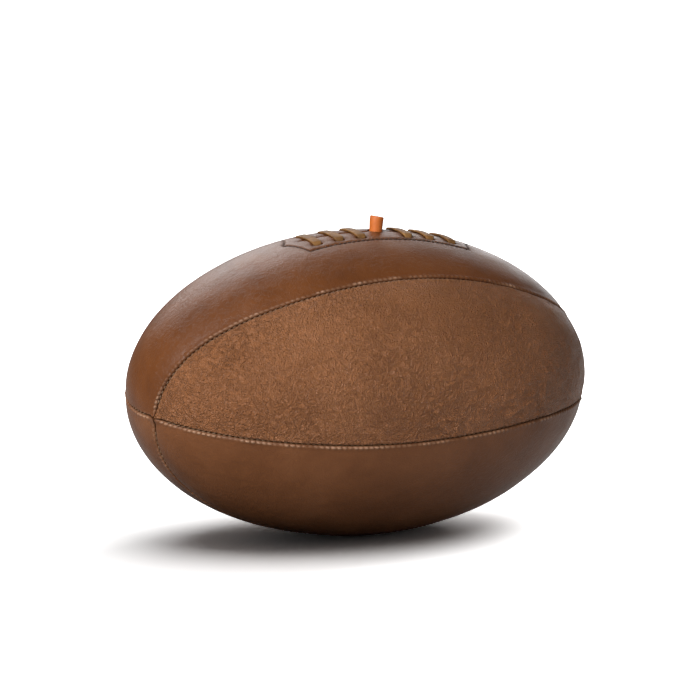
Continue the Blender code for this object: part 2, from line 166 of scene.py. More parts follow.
# ---- mesh and material helpers ------------------------------------------------------
def mesh_object(name, points, faces, material, smooth_angle=50.0):
    mesh = bpy.data.meshes.new(name)
    mesh.from_pydata(np.asarray(points).tolist(), [], faces)
    work = bmesh.new()
    work.from_mesh(mesh)
    bmesh.ops.recalc_face_normals(work, faces=work.faces)
    work.to_mesh(mesh)
    work.free()
    mesh.shade_smooth()
    mesh.set_sharp_from_angle(angle=radians(smooth_angle))
    mesh.materials.append(material)
    item = bpy.data.objects.new(name, mesh)
    bpy.context.scene.collection.objects.link(item)
    return item


def grid_faces(rows, columns, start=0, flip=False):
    corner = start + np.arange((rows - 1) * columns).reshape(rows - 1, columns)[:, :-1].ravel()
    quads = np.stack((corner, corner + 1, corner + columns + 1, corner + columns), -1)
    return (quads[:, ::-1] if flip else quads).tolist()


# The colour sockets of Blender's Mix node, which has one set for each data type.
MIX_FACTOR, MIX_A, MIX_B, MIX_RESULT = 0, 6, 7, 2


class Nodes:
    """A short way to write a material's node tree."""

    def __init__(self, name):
        self.material = bpy.data.materials.new(name)
        self.material.use_nodes = True
        self.tree = self.material.node_tree
        self.shader = self.tree.nodes["Principled BSDF"]
        self.coordinates = self.add("ShaderNodeTexCoord").outputs["Object"]

    def add(self, kind, inputs=None, **settings):
        node = self.tree.nodes.new(kind)
        for key, value in settings.items():
            setattr(node, key, value)
        for key, value in (inputs or {}).items():
            self.put(node.inputs[key], value)
        return node

    def put(self, socket, value):
        if isinstance(value, bpy.types.NodeSocket):
            self.tree.links.new(value, socket)
        else:
            socket.default_value = value

    def noise(self, scale, detail=2.0, rough=0.5, vector=None, distortion=0.0):
        node = self.add("ShaderNodeTexNoise", {
            "Vector": vector or self.coordinates, "Scale": scale, "Detail": detail,
            "Roughness": rough, "Distortion": distortion,
        })
        return node.outputs["Fac"]

    def voronoi(self, scale, feature):
        node = self.add("ShaderNodeTexVoronoi", {"Vector": self.coordinates, "Scale": scale},
                        feature=feature)
        return node.outputs["Distance"]

    def attribute(self, name):
        return self.add("ShaderNodeAttribute", attribute_name=name).outputs["Fac"]

    def ramp(self, value, *stops):
        node = self.add("ShaderNodeValToRGB", {"Fac": value})
        ramp = node.color_ramp
        while len(ramp.elements) < len(stops):
            ramp.elements.new(0.5)
        for element, (place, colour) in zip(ramp.elements, stops):
            element.position = place
            element.color = (*colour, 1.0)
        return node.outputs["Color"]

    def mix(self, factor, a, b):
        node = self.add("ShaderNodeMix", data_type="RGBA")
        self.put(node.inputs[MIX_FACTOR], factor)
        self.put(node.inputs[MIX_A], a if isinstance(a, bpy.types.NodeSocket) else (*a, 1.0))
        self.put(node.inputs[MIX_B], b if isinstance(b, bpy.types.NodeSocket) else (*b, 1.0))
        return node.outputs[MIX_RESULT]

    def maths(self, operation, a, b=0.0, c=0.0):
        node = self.add("ShaderNodeMath", operation=operation)
        for socket, value in zip(node.inputs, (a, b, c)):
            self.put(socket, value)
        return node.outputs[0]

    def stretched(self, x, y, z):
        node = self.add("ShaderNodeMapping", {"Vector": self.coordinates, "Scale": (x, y, z)})
        return node.outputs["Vector"]

    def bump(self, height, distance, strength=1.0, under=None):
        node = self.add("ShaderNodeBump", {"Height": height, "Distance": distance,
                                           "Strength": strength})
        if under is not None:
            self.put(node.inputs["Normal"], under)
        return node.outputs["Normal"]

    def finish(self, colour, roughness, normal, **extra):
        self.put(self.shader.inputs["Base Color"], colour)
        self.put(self.shader.inputs["Roughness"], roughness)
        self.put(self.shader.inputs["Normal"], normal)
        for key, value in extra.items():
            self.put(self.shader.inputs[key.replace("_", " ")], value)
        return self.material


# ---- leather ------------------------------------------------------------------------
# A paler rubbed colour, painted along the seam ridges as their highlight.
RUBBED_HIGHLIGHT_LEATHER = (0.50, 0.31, 0.20)


class Grain(NamedTuple):
    """A hide's surface: depths in metres, the rest as shares."""
    pebbles_per_metre: float
    pebble_height: float            # of the grain's height, the rest being pores
    gap_shade: float                # how dark the gaps between pebbles are
    depth: float
    strength: float
    fold_depth: float
    wrinkle_depth: float
    wrinkle_shade: float
    polish: float                   # how far the smoothest patches are below the roughness
    specular: float


PEBBLED = Grain(720.0, 0.60, 0.26, 0.00052, 1.0, 0.0016, 0.00062, 0.13, 0.16, 0.27)
SMOOTH = Grain(1000.0, 0.22, 0.10, 0.00020, 0.5, 0.0008, 0.00012, 0.06, 0.13, 0.21)


def leather(name, dark, mid, light, rough, grain, coat):
    """Dyed leather: mottled colour, creases and wrinkles with painted shade in them, a paler colour
    painted as highlight on the seam ridges, and a grain of pebbles and pores.
    """
    n = Nodes(name)
    faint = tuple(0.5 * c for c in dark)
    # The colour of the painted shade in seam grooves, tucks and dents.
    crease_shade_colour = tuple(0.22 * c for c in dark)

    def darkened(colour, where, amount, shade):
        return n.mix(n.maths("MULTIPLY", where, amount), colour, shade)

    cells = n.voronoi(grain.pebbles_per_metre, "SMOOTH_F1")
    cracks = n.voronoi(grain.pebbles_per_metre, "DISTANCE_TO_EDGE")
    cloudy = n.noise(26.0, 4.0, 0.6, distortion=0.4)
    colour = n.ramp(cloudy, (0.30, dark), (0.52, mid), (0.72, light))
    colour = darkened(colour, n.noise(420.0, 3.0, 0.6), 0.35, n.mix(0.5, colour, dark))
    sunk = n.maths("SUBTRACT", 1.0, n.maths("MINIMUM", n.maths("MULTIPLY", cracks, 4.5), 1.0))
    colour = darkened(colour, sunk, grain.gap_shade, faint)
    # Painted shade: darker in the seam grooves, the tucks by the stitches, the stitch lines and the
    # lace-hole dents.
    crease_shade = n.attribute("crease_shade")
    colour = darkened(colour, crease_shade, 0.85, crease_shade_colour)
    # Painted highlight: the paler rubbed colour on the raised ridges beside the seams.
    colour = n.mix(n.maths("MULTIPLY", n.attribute("rub_highlight"), 0.50), colour, RUBBED_HIGHLIGHT_LEATHER)

    pores = n.noise(1500.0, 3.0, 0.6)
    folds = n.noise(75.0, 5.0, 0.62, vector=n.stretched(0.5, 1.2, 1.2), distortion=0.8)
    raised = n.maths("SUBTRACT", n.maths("MINIMUM", n.maths("MULTIPLY", cracks, 4.0), 1.0), cells)
    height = n.maths("MULTIPLY_ADD", raised, grain.pebble_height, pores)
    normal = n.bump(height, grain.depth, grain.strength)
    normal = n.bump(folds, grain.fold_depth, 0.5, under=normal)

    # Fine winding wrinkles run where a noise crosses its middle, denser in some patches.
    winding = n.noise(230.0, 4.0, 0.62, distortion=0.3)
    gap = n.maths("ABSOLUTE", n.maths("SUBTRACT", winding, 0.5))
    wrinkle = n.maths("SUBTRACT", 1.0, n.maths("MINIMUM", n.maths("MULTIPLY", gap, 14.0), 1.0))
    region = n.ramp(n.noise(17.0, 2.0, 0.5), (0.36, (0.45, 0.45, 0.45)), (0.66, (1.0, 1.0, 1.0)))
    wrinkle = n.maths("MULTIPLY", wrinkle, region)
    colour = darkened(colour, wrinkle, grain.wrinkle_shade, faint)
    normal = n.bump(n.maths("SUBTRACT", 1.0, wrinkle), grain.wrinkle_depth, 0.9, under=normal)

    # The gloss comes in patches, and creases are dull.
    roughness = n.maths("MULTIPLY_ADD", n.noise(60.0, 3.0, 0.6), 0.20, rough - grain.polish)
    roughness = n.maths("MULTIPLY_ADD", crease_shade, 0.25, roughness)
    level = n.maths("MULTIPLY_ADD", crease_shade, -0.20, grain.specular)
    return n.finish(colour, roughness, normal, Coat_Weight=coat, Coat_Roughness=0.25,
                    Specular_IOR_Level=level)


PANELS = {
    # name: low seam, high seam, columns
    "front": ("front_bottom", "top_front", 150),
    "top": ("top_front", "back_top", 230),
    "bottom": ("bottom_back", "front_bottom", 120),
    "back": ("back_top", "bottom_back", 130),
}
RINGS = 700
END_ANGLE = radians(0.6)
ROLL = 0.0010                       # radius of the rolled edge beside a seam
EDGE_STEPS = 7
STITCH_PITCH = 0.0033
# The panel that puckers at each seam: its leather is drawn in between the stitches.
PUCKERED = {"top_front": "top", "front_bottom": "bottom",
            "bottom_back": "back", "back_top": "back"}
PUCKER = {"top_front": 1.0, "front_bottom": 1.0, "bottom_back": 0.45, "back_top": 1.0}
PLAIN_SIDE = 0.30                   # share of the pucker on a seam's other side
INNER_COLUMNS = 12                  # of a panel's inside, between its turned edges
TUCK_DEPTH = 0.00050                # at each stitch
SCALLOP_HEIGHT = 0.00055            # between the stitches
SEAM_ROLL_HEIGHT = 0.00028
SEAM_DIP = 0.0008                   # the wide dip towards a seam, and how far it reaches
SEAM_DIP_REACH = 0.009
TIP_DIP = 0.0007                    # a narrower one, only near the ball's tips
TIP_DIP_REACH = 0.0035
TIP_SPREAD = 0.4                    # in ring angle


def along_seam(name, ring):
    """Distance along a seam from its first point, at each ring angle."""
    path = skin(ring, seam_angle(name, ring), np.zeros_like(ring))
    return np.concatenate(([0.0], np.cumsum(np.linalg.norm(np.diff(path, axis=0), axis=1))))


def facing_half_width(along):
    """Half width of the facing's outline: square in the middle, concave towards its points."""
    reach = np.abs(along)
    waist = 0.10 * np.cos(pi * np.minimum(reach, FACING_SHOULDER) / (2 * FACING_SHOULDER))
    middle = FACING_HALF_WIDTH * (1.0 - waist)
    point = FACING_HALF_LENGTH - FACING_SHOULDER
    taper = np.clip((FACING_HALF_LENGTH - reach) / point, 0.0, 1.0)
    tip = FACING_TIP_HALF_WIDTH + (FACING_HALF_WIDTH - FACING_TIP_HALF_WIDTH) * taper ** 1.7
    return np.where(reach <= FACING_SHOULDER, middle, tip)


def seam_relief(distance, travel, strength, seed):
    """How far the leather drops at a distance from a seam, how much painted shade its tucks get, and
    where a paler rubbed colour is painted as highlight on its ridge.
    """
    line = np.stack((travel, travel * 0, travel * 0), -1)
    beat = pi * (travel / STITCH_PITCH + 0.30 * noise(line, 0.02, seed))
    scallop = np.abs(np.sin(beat)) * (0.75 + 0.6 * noise(line, 0.006, seed + 50))
    ridge = bell(distance, 0.0013, 0.0007)
    roll = bell(distance, 0.0019, 0.0012)
    tuck = np.clip(1.0 - scallop, 0.0, 1.0) ** 2 * bell(distance, 0.0, 0.0020)
    raised = SCALLOP_HEIGHT * scallop * ridge + SEAM_ROLL_HEIGHT * roll
    drop = strength * (TUCK_DEPTH * tuck - raised)
    drop += SEAM_DIP * np.exp(-distance / SEAM_DIP_REACH)
    # The painted highlight on the ridge comes and goes in patches.
    worn = np.clip(0.75 + 0.9 * noise(line, 0.024, seed + 60), 0.0, 1.0)
    return drop, strength * tuck, strength * worn * np.clip(scallop, 0.0, 1.0) * ridge


def build_panel(panel, material):
    """One panel as a closed shell: outer skin, rolled and turned edges, and plain inside."""
    low_seam, high_seam, count = PANELS[panel]
    ring = END_ANGLE + (pi - 2 * END_ANGLE) * np.linspace(0.0, 1.0, RINGS)
    low = seam_angle(low_seam, ring)
    high = seam_angle(high_seam, ring)
    high = high + 360.0 * (high < low)
    reach = HALF_WIDTH * np.sin(ring)
    arc = np.radians(high - low) * reach
    roll = np.minimum(ROLL, 0.2 * arc)
    # Across each ring: down the turned edge, round the rolled edge, over the panel and back.
    turn = np.linspace(0.0, pi / 2, EDGE_STEPS)
    edge = np.concatenate(([0.0, 0.0], 1.0 - np.cos(turn)))
    fall = np.concatenate(([2.0, 1.5], 1.0 - np.sin(turn)))
    share = np.linspace(0.0, 1.0, count)[1:-1]
    share = share - 0.45 * np.sin(2 * pi * share) / (2 * pi)
    start = SEAM_GAP / 2 + roll[:, None] * edge[None]
    inside = SEAM_GAP / 2 + roll
    middle = inside[:, None] + (arc - 2 * inside)[:, None] * share[None]
    across = np.concatenate((start, middle, arc[:, None] - start[:, ::-1]), 1)
    edge_drop = roll[:, None] * fall
    drop = np.concatenate((edge_drop, np.zeros_like(middle), edge_drop[:, ::-1]), 1)
    around = low[:, None] + np.degrees(across / reach[:, None])
    rings = np.broadcast_to(ring[:, None], around.shape)
    base = skin(rings, around, np.zeros_like(around))

    # Masks for painted shade in the grooves and tucks, and for the paler colour painted as highlight
    # on the ridges.
    crease_shade = np.zeros_like(around)
    worn = np.zeros_like(around)
    tips = bell(ring, 0.0, TIP_SPREAD) + bell(ring, pi, TIP_SPREAD)
    fade = smooth(0.0, 0.010, arc)[:, None]
    for seam, distance, seed in ((low_seam, across, 3), (high_seam, arc[:, None] - across, 4)):
        travel = along_seam(seam, ring)[:, None] + 0.0 * distance
        strength = PUCKER[seam] * (1.0 if PUCKERED[seam] == panel else PLAIN_SIDE)
        relief, shade_mask, raised = seam_relief(distance, travel, strength, seed)
        relief = relief + TIP_DIP * np.exp(-distance / TIP_DIP_REACH) * tips[:, None]
        drop = drop + relief * fade
        crease_shade = np.maximum(crease_shade, shade_mask * 0.45 * fade)
        worn = np.maximum(worn, raised * fade)
        # Painted shade along the seam line itself.
        crease_shade = np.maximum(crease_shade, 1.0 - smooth(0.0001, 0.0008, distance))
    drop = drop - 0.00035 * noise(base, 0.045, 11) - 0.00012 * noise(base, 0.014, 12)
    if panel == "front":
        drop = drop + front_wrinkles(base)
    if panel == "top":
        relief, shade_mask = lacing_relief(base)
        drop = drop + relief
        crease_shade = np.maximum(crease_shade, shade_mask)
    outer = skin(rings, around, drop)
    outer[..., 2] = np.maximum(outer[..., 2], 0.0)

    inner_columns = np.linspace(0, around.shape[1] - 1, INNER_COLUMNS + 2).astype(int)[1:-1]
    first = around[:, :1]
    last = around[:, -1:]
    sides = np.degrees(np.minimum(TURNED_EDGE_WIDTH, 0.3 * arc) / reach)[:, None]
    turned = np.full_like(first, TURNED_EDGE_DEPTH)
    body = np.full((RINGS, len(inner_columns)), LEATHER)
    inner_around = (first, first + sides, around[:, inner_columns], last - sides, last)
    inner_around = np.concatenate(inner_around, 1)
    inner_drop = np.concatenate((turned, turned, body, turned, turned), 1)
    inner = skin(np.broadcast_to(ring[:, None], inner_around.shape), inner_around, inner_drop)

    rows, wide = around.shape
    narrow = inner_around.shape[1]
    offset = rows * wide
    faces = grid_faces(rows, wide, flip=True) + grid_faces(rows, narrow, offset)
    for column, inner_column in ((0, 0), (wide - 1, narrow - 1)):
        a = np.arange(rows - 1) * wide + column
        b = offset + np.arange(rows - 1) * narrow + inner_column
        strip = np.stack((a, b, b + narrow, a + wide), -1)
        faces += strip.tolist()
    for row in (0, rows - 1):
        faces.append([row * wide + c for c in range(wide)]
                     + [offset + row * narrow + c for c in range(narrow - 1, -1, -1)])
    points = np.concatenate((outer.reshape(-1, 3), inner.reshape(-1, 3)))
    item = mesh_object("leather_panel_" + panel, points, faces, material)
    # The painted shade and the painted highlight, kept for the leather's material.
    paint(item, "crease_shade", crease_shade, narrow * rows)
    paint(item, "rub_highlight", worn, narrow * rows)
    return item


def paint(item, name, values, extra):
    """Store a value for each outer point; the inner points get none."""
    layer = item.data.attributes.new(name, "FLOAT", "POINT")
    values = np.concatenate((values.ravel(), np.zeros(extra)))
    layer.data.foreach_set("value", values.astype(np.float32))


FOLD_HEIGHT = 0.00018
DEEP_FOLD_HEIGHT = 0.00062
WIDE_FOLD_HEIGHT = 0.00016
STITCH_SINK = 0.00040
SLIT_SINK = 0.00060
FACING_RISE = 0.00025
HOLE_SINK = 0.00070
COLLAR_RISE = 0.0003                # around the stem


def front_wrinkles(base):
    """Fine folds in the pebbled panel, deepest below its middle."""
    centred = base - CENTRE
    region = bell(centred[..., 0], 0.045, 0.055) * bell(centred[..., 2], -0.004, 0.020)
    folds = 1.0 - 2.0 * np.abs(noise(centred / np.array((3.2, 1.0, 1.0)), 0.0042, 31))
    wide = noise(centred / np.array((2.0, 1.0, 1.0)), 0.009, 32)
    height = FOLD_HEIGHT + DEEP_FOLD_HEIGHT * region
    return -height * np.clip(folds, 0.0, 1.0) - WIDE_FOLD_HEIGHT * wide


def lacing_relief(base):
    """The dents around the slit, the lace holes and the stem, and the stitched outline, with painted
    shade in the slit, the hole dents and the stitch groove.
    """
    x = base[..., 0] - LACE_CENTRE[0]
    y = base[..., 1] - LACE_CENTRE[1]
    upper = base[..., 2] > CENTRE[2]
    outline = facing_half_width(x) - FACING_MARGIN
    # The outline runs slantwise beyond its shoulders, so it is nearer than it is along Y.
    slant = np.where(np.abs(x) > FACING_SHOULDER, 0.45, 1.0)
    edge = np.abs(np.abs(y) - outline) * slant
    inside_ends = np.abs(x) < FACING_HALF_LENGTH * FACING_STITCHED_SHARE
    stitched = bell(edge, 0.0, 0.0009) * inside_ends
    within = smooth(0.0, 0.003, outline - np.abs(y)) * inside_ends
    slit = bell(y, 0.0, 0.0022) * smooth(0.056, 0.048, np.abs(x))
    relief = STITCH_SINK * stitched + SLIT_SINK * slit - FACING_RISE * within
    # Painted shade in the stitch groove, the slit and the lace-hole dents.
    shade_mask = 0.75 * stitched + 0.6 * slit
    for hole_x, hole_y in THONG_HOLES:
        dent = bell(x, hole_x, 0.0042) * bell(y, hole_y, 0.0024)
        relief = relief + HOLE_SINK * dent
        shade_mask = np.maximum(shade_mask, 0.8 * dent)
    relief = relief - COLLAR_RISE * bell(np.hypot(x, y), 0.0052, 0.0015)
    return np.where(upper, relief, 0.0), np.where(upper, np.clip(shade_mask, 0.0, 1.0), 0.0)


# ---- cuts in the top panel ----------------------------------------------------------
CUT_DEPTH = 0.0044                  # under the skin
CUT_ABOVE = 0.002
HOLE_LENGTH = 0.0070
HOLE_WIDTH = 0.0030
SLIT_HALF_LENGTH = 0.052
SLIT_HALF_WIDTH = 0.0011
SLIT_STEPS = 12


def turns(sides):
    """Evenly spaced angles once round a circle."""
    return np.linspace(0, 2 * pi, sides + 1)[:-1]


def bar(loops):
    """A closed bar through equal loops of points."""
    size = len(loops[0])
    points = np.concatenate([np.asarray(loop) for loop in loops])
    faces = []
    for row in range(len(loops) - 1):
        here = row * size
        there = here + size
        for i in range(size):
            j = (i + 1) % size
            faces.append((here + i, here + j, there + j, there + i))
    faces.append(tuple(range(size)))
    faces.append(tuple(range(len(points) - size, len(points))))
    return points, faces


def cut(target, name, points, faces):
    """Take a bar out of a closed mesh and throw the bar away."""
    tool = mesh_object(name, points, faces, target.data.materials[0])
    cutter = target.modifiers.new(name, "BOOLEAN")
    cutter.operation = "DIFFERENCE"
    cutter.solver = "MANIFOLD"
    cutter.object = tool
    bpy.context.view_layer.objects.active = target
    bpy.ops.object.modifier_apply(modifier=name)
    bpy.data.objects.remove(tool, do_unlink=True)


def slot_loop(x, y, long, wide, depth, steps=6):
    """A round-ended slot's outline on the skin, long along X."""
    loop = []
    for end in (1, -1):
        for k in range(steps + 1):
            a = -pi / 2 + pi * k / steps
            out = (long - wide + wide * cos(a)) / 2
            loop.append(over(x + end * out, y + end * wide / 2 * sin(a), depth))
    return loop


def cut_lacing(panel):
    """Cut the thongs' holes, the slit and the stem's bore through the top panel."""
    x0, y0 = LACE_CENTRE
    for hole_x, hole_y in THONG_HOLES:
        loops = [slot_loop(x0 + hole_x, y0 + hole_y, HOLE_LENGTH, HOLE_WIDTH, depth)
                 for depth in (CUT_DEPTH, -CUT_ABOVE)]
        cut(panel, "hole", *bar(loops))
    corners = ((-1, CUT_DEPTH), (1, CUT_DEPTH), (1, -CUT_ABOVE), (-1, -CUT_ABOVE))
    slit = []
    for k in range(-SLIT_STEPS, SLIT_STEPS + 1):
        share = k / SLIT_STEPS
        wide = SLIT_HALF_WIDTH * sqrt(max(0.04, 1.0 - share ** 4))
        x = x0 + SLIT_HALF_LENGTH * share
        slit.append([over(x, y0 + side * wide, depth) for side, depth in corners])
    cut(panel, "slit", *bar(slit))
    high = STEM_TOP - STEM_ABOVE
    bore = [[(x0 + BORE_RADIUS * cos(a), y0 + BORE_RADIUS * sin(a), z) for a in turns(32)]
            for z in (high - 0.006, high + 0.004)]
    cut(panel, "bore", *bar(bore))


# ---- thread -------------------------------------------------------------------------
SEAM_THREAD_RADIUS = 0.00030
FACING_THREAD_RADIUS = 0.00034
FACING_STITCH_PITCH = 0.0031


def stitch(path, radius, sides):
    """A short thread along a path with rounded ends, as points and faces."""
    path = np.asarray(path)
    count = len(path)
    along = np.gradient(path, axis=0)
    along /= np.linalg.norm(along, axis=1, keepdims=True)
    outward = normals_at(path)
    side = np.cross(along, outward)
    side /= np.linalg.norm(side, axis=1, keepdims=True)
    up = np.cross(side, along)
    size = radius * np.sqrt(np.clip(1.0 - np.linspace(-0.97, 0.97, count) ** 6, 0.02, 1.0))
    turn = turns(sides)
    ring = np.cos(turn)[None, :, None] * side[:, None] + np.sin(turn)[None, :, None] * up[:, None]
    return bar(list(path[:, None] + size[:, None, None] * ring))


def join_bars(bars):
    """Many closed bars as one mesh's points and faces."""
    points = []
    faces = []
    base = 0
    for bar_points, bar_faces in bars:
        points.append(bar_points)
        faces += [tuple(base + i for i in face) for face in bar_faces]
        base += len(bar_points)
    return np.concatenate(points), faces


def seam_stitches(seam):
    """Thread that shows between the rolled edges at each stitch."""
    ring = np.linspace(radians(4.0), radians(176.0), 1500)
    travel = along_seam(seam, ring)
    bars = []
    for place in np.arange(STITCH_PITCH, travel[-1], STITCH_PITCH):
        here = np.interp(place, travel, ring)
        ahead = np.interp(place + STITCH_PITCH * 0.62, travel, ring)
        rings = np.linspace(here, ahead, 7)
        reach = HALF_WIDTH * np.sin(rings)
        sway = np.linspace(-0.00022, 0.00022, 7)
        around = seam_angle(seam, rings) + np.degrees(sway / reach)
        depth = 0.00150 + 0.00050 * np.linspace(-1, 1, 7) ** 4
        bars.append(stitch(skin(rings, around, depth), SEAM_THREAD_RADIUS, 7))
    return join_bars(bars)


def facing_outline():
    """The stitched outline as a closed loop of (x, y), evenly spaced."""
    point = np.linspace(0.84, 1.0, 40)[1:]
    x = np.concatenate((-point[::-1], np.linspace(-0.84, 0.84, 120), point))
    x = x * FACING_HALF_LENGTH * FACING_STITCHED_SHARE
    y = np.maximum(facing_half_width(x) - FACING_MARGIN, 0.0)
    loop = np.concatenate((np.stack((x, y), -1), np.stack((x[::-1], -y[::-1]), -1)))
    step = np.linalg.norm(np.diff(loop, axis=0), axis=1)
    loop = loop[np.concatenate(([True], step > 1e-6))]      # the two halves may share a point
    travel = np.concatenate(([0.0], np.cumsum(np.linalg.norm(np.diff(loop, axis=0), axis=1))))
    return loop + np.array(LACE_CENTRE), travel


def facing_stitches():
    """Dark stitches on the skin along the facing's outline."""
    loop, travel = facing_outline()
    count = int(round(travel[-1] / FACING_STITCH_PITCH))
    pitch = travel[-1] / count
    bars = []
    for k in range(count):
        places = np.linspace(k * pitch, (k + 0.68) * pitch, 8)
        x = np.interp(places, travel, loop[:, 0])
        y = np.interp(places, travel, loop[:, 1])
        depth = 0.00010 + 0.00055 * np.linspace(-1, 1, 8) ** 4
        bars.append(stitch(over(x, y, depth), FACING_THREAD_RADIUS, 8))
    return join_bars(bars)


# ---- laces --------------------------------------------------------------------------
INNER_RUN_DEPTH = 0.0058
THONG_TOP = 0.00082                 # centre line's height over the leather
THONG_BEND = 0.0021
THONG_WIDTH = 0.0058
THONG_THICKNESS = 0.00145
# Half of a thong's section, across and up in half widths and half thicknesses, from its lower
# middle to its upper middle: flat below, slightly crowned above, with softened edges.
THONG_SECTION = ((0, -1), (0.93, -0.95), (1, -0.55), (1, 0.45),
                 (0.92, 0.9), (0.5, 1.08), (0, 1.14))


def thong_path(side):
    """Centre line of a lace as (x, y, height) over the skin, in order."""
    stations = [side * place for place in reversed(THONG_STATIONS)]
    far = THONG_HOLE_OFFSET
    near = far - 0.0010
    low = -INNER_RUN_DEPTH
    bend = []
    for k in range(6):
        a = pi / 2 * k / 5
        bend.append((far - THONG_BEND * (1 - cos(a)), THONG_TOP - THONG_BEND * (1 - sin(a))))
    line = [(stations[0], 0.003, low), (stations[0], near, low)]
    for i, x in enumerate(stations):
        line.append((x, far, low + 0.0010))
        line += [(x, y, height) for y, height in bend]
        for k in range(1, 12):
            y = (far - THONG_BEND) * (1 - 2 * k / 12)
            line.append((x, y, THONG_TOP + 0.0002 * sin(pi * k / 12)))
        line += [(x, -y, height) for y, height in reversed(bend)]
        line.append((x, -far, low + 0.0010))
        if i + 1 < len(stations):
            for k in range(7):
                share = k / 6
                line.append((x + (stations[i + 1] - x) * share, near * (2 * share - 1), low))
    line += [(stations[-1], -near, low), (stations[-1], -0.003, low)]
    return np.array(line)


def build_lace(name, side, material):
    """A lace swept along its path, wide along X and narrower where it goes into its holes."""
    line = thong_path(side)
    centre = over(LACE_CENTRE[0] + line[:, 0], LACE_CENTRE[1] + line[:, 1], -line[:, 2])
    outward = normals_at(centre)
    across = np.array((1.0, 0.0, 0.0)) - outward[:, :1] * outward
    across /= np.linalg.norm(across, axis=1, keepdims=True)
    along = np.gradient(centre, axis=0)
    up = np.cross(across, along)
    up /= np.linalg.norm(up, axis=1, keepdims=True)
    mirrored = [(-u, v) for u, v in reversed(THONG_SECTION[1:-1])]
    section = np.array([*THONG_SECTION, *mirrored]) * (THONG_WIDTH / 2, THONG_THICKNESS / 2)
    wobble = 1.0 + 0.05 * noise(centre * np.array((0.3, 1.0, 1.0)), 0.005, 41)
    wobble = wobble * (0.68 + 0.32 * smooth(-0.0012, THONG_TOP, line[:, 2]))
    loops = centre[:, None] + (section[None, :, :1] * wobble[:, None, None]) * across[:, None]
    loops = loops + section[None, :, 1:] * up[:, None]
    item = mesh_object(name, *bar(list(loops)), material, 60.0)
    sub = item.modifiers.new("smooth", "SUBSURF")
    sub.levels = 1
    sub.render_levels = 1
    return item


# ---- valve --------------------------------------------------------------------------
STEM_ROUNDING = 0.0006
STEM_LEAN = 0.10                    # how far the stub's top leans, as a share of its height


def lathe(profile, sides, lean=0.0, lean_from=0.0):
    """A closed turned ring from (height, radius) pairs, bending over along X above lean_from."""
    x0, y0 = LACE_CENTRE
    points = []
    for z, radius in profile:
        rise = max(0.0, z - lean_from)
        shift = lean * rise * rise / STEM_ABOVE
        tilt = 2.0 * shift / STEM_ABOVE
        points += [(x0 + shift + radius * cos(a), y0 + radius * sin(a), z - tilt * radius * cos(a))
                   for a in turns(sides)]
    faces = []
    for row in range(len(profile)):
        here = row * sides
        there = (row + 1) % len(profile) * sides
        for i in range(sides):
            j = (i + 1) % sides
            faces.append((here + i, here + j, there + j, there + i))
    return np.array(points), faces


def rounded(corner_points, radius, steps=4):
    """A profile with its corners rounded off; points are (height, radius)."""
    result = []
    count = len(corner_points)
    for i in range(count):
        a, b, c = (np.array(corner_points[(i + k) % count]) for k in (-1, 0, 1))
        r = min(radius, 0.45 * np.linalg.norm(a - b), 0.45 * np.linalg.norm(c - b))
        p = b + (a - b) / np.linalg.norm(a - b) * r
        q = b + (c - b) / np.linalg.norm(c - b) * r
        for k in range(steps + 1):
            t = k / steps
            result.append(tuple((1 - t) ** 2 * p + 2 * t * (1 - t) * b + t * t * q))
    return result


def build_neck(material):
    """The bladder's soft neck, as a thin turned sleeve in place of the CAD's."""
    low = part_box("bladder_neck")[0].z
    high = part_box("bladder_neck")[1].z
    heights = [low + (high - low) * k / 8 for k in range(9)]
    outside = [(z, NECK_RADIUS) for z in heights]
    inside = [(z, NECK_RADIUS - NECK_WALL) for z in reversed(heights)]
    piece = mesh_object("bladder_neck_sleeve", *lathe(outside + inside, 48), material, 60.0)
    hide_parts("bladder_neck")
    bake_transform(piece)


def build_stem(material):
    """The stem: a flanged foot in the neck, a shaft, and a stub worn round at its rim."""
    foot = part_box("valve_stem")[0].z
    skin_height = STEM_TOP - STEM_ABOVE
    profile = [
        # The foot's flange and the shaft.
        (foot, 0.0052), (foot + 0.0012, 0.0052), (foot + 0.0012, STEM_RADIUS),
        (skin_height, STEM_RADIUS * 0.985),
        # The stub and its dished top.
        (STEM_TOP - 0.0022, STEM_RADIUS * 1.05), (STEM_TOP, STEM_RADIUS * 1.03),
        (STEM_TOP - 0.0002, 0.0022), (STEM_TOP - 0.0011, 0.0012),
        # The needle's passage, and the seat of the core.
        (foot + 0.011, 0.0010), (foot + 0.011, 0.0027), (foot, 0.0027),
    ]
    turned = lathe(rounded(profile, STEM_ROUNDING), 64, STEM_LEAN, skin_height)
    return mesh_object("valve_stem_rubber", *turned, material, 60.0)


# ---- materials of the small and inner pieces ----------------------------------------
DUST = (0.6, 0.55, 0.5)
CANVAS_THREADS = 320.0


def thong_leather():
    """Tan leather with its fibres showing."""
    n = Nodes("thong_leather")
    cloud = n.noise(160.0, 4.0, 0.6)
    colour = n.ramp(cloud, (0.30, (0.080, 0.034, 0.010)), (0.52, (0.190, 0.083, 0.022)),
                    (0.75, (0.30, 0.150, 0.046)))
    fibres = n.noise(900.0, 4.0, 0.7, vector=n.stretched(2.0, 0.4, 1.0))
    colour = n.mix(n.maths("MULTIPLY", fibres, 0.5), colour, (0.14, 0.08, 0.03))
    normal = n.bump(fibres, 0.0002, 0.6)
    return n.finish(colour, 0.58, normal, Specular_IOR_Level=0.25)


def thread_material(name, colour, dark):
    """Waxed linen: the plies show as fine bands."""
    n = Nodes(name)
    wave = n.add("ShaderNodeTexWave", {"Vector": n.coordinates, "Scale": 900.0,
                                       "Distortion": 2.0, "Detail": 2.0})
    ply = wave.outputs["Fac"]
    return n.finish(n.mix(ply, dark, colour), 0.6, n.bump(ply, 0.00012, 0.8))


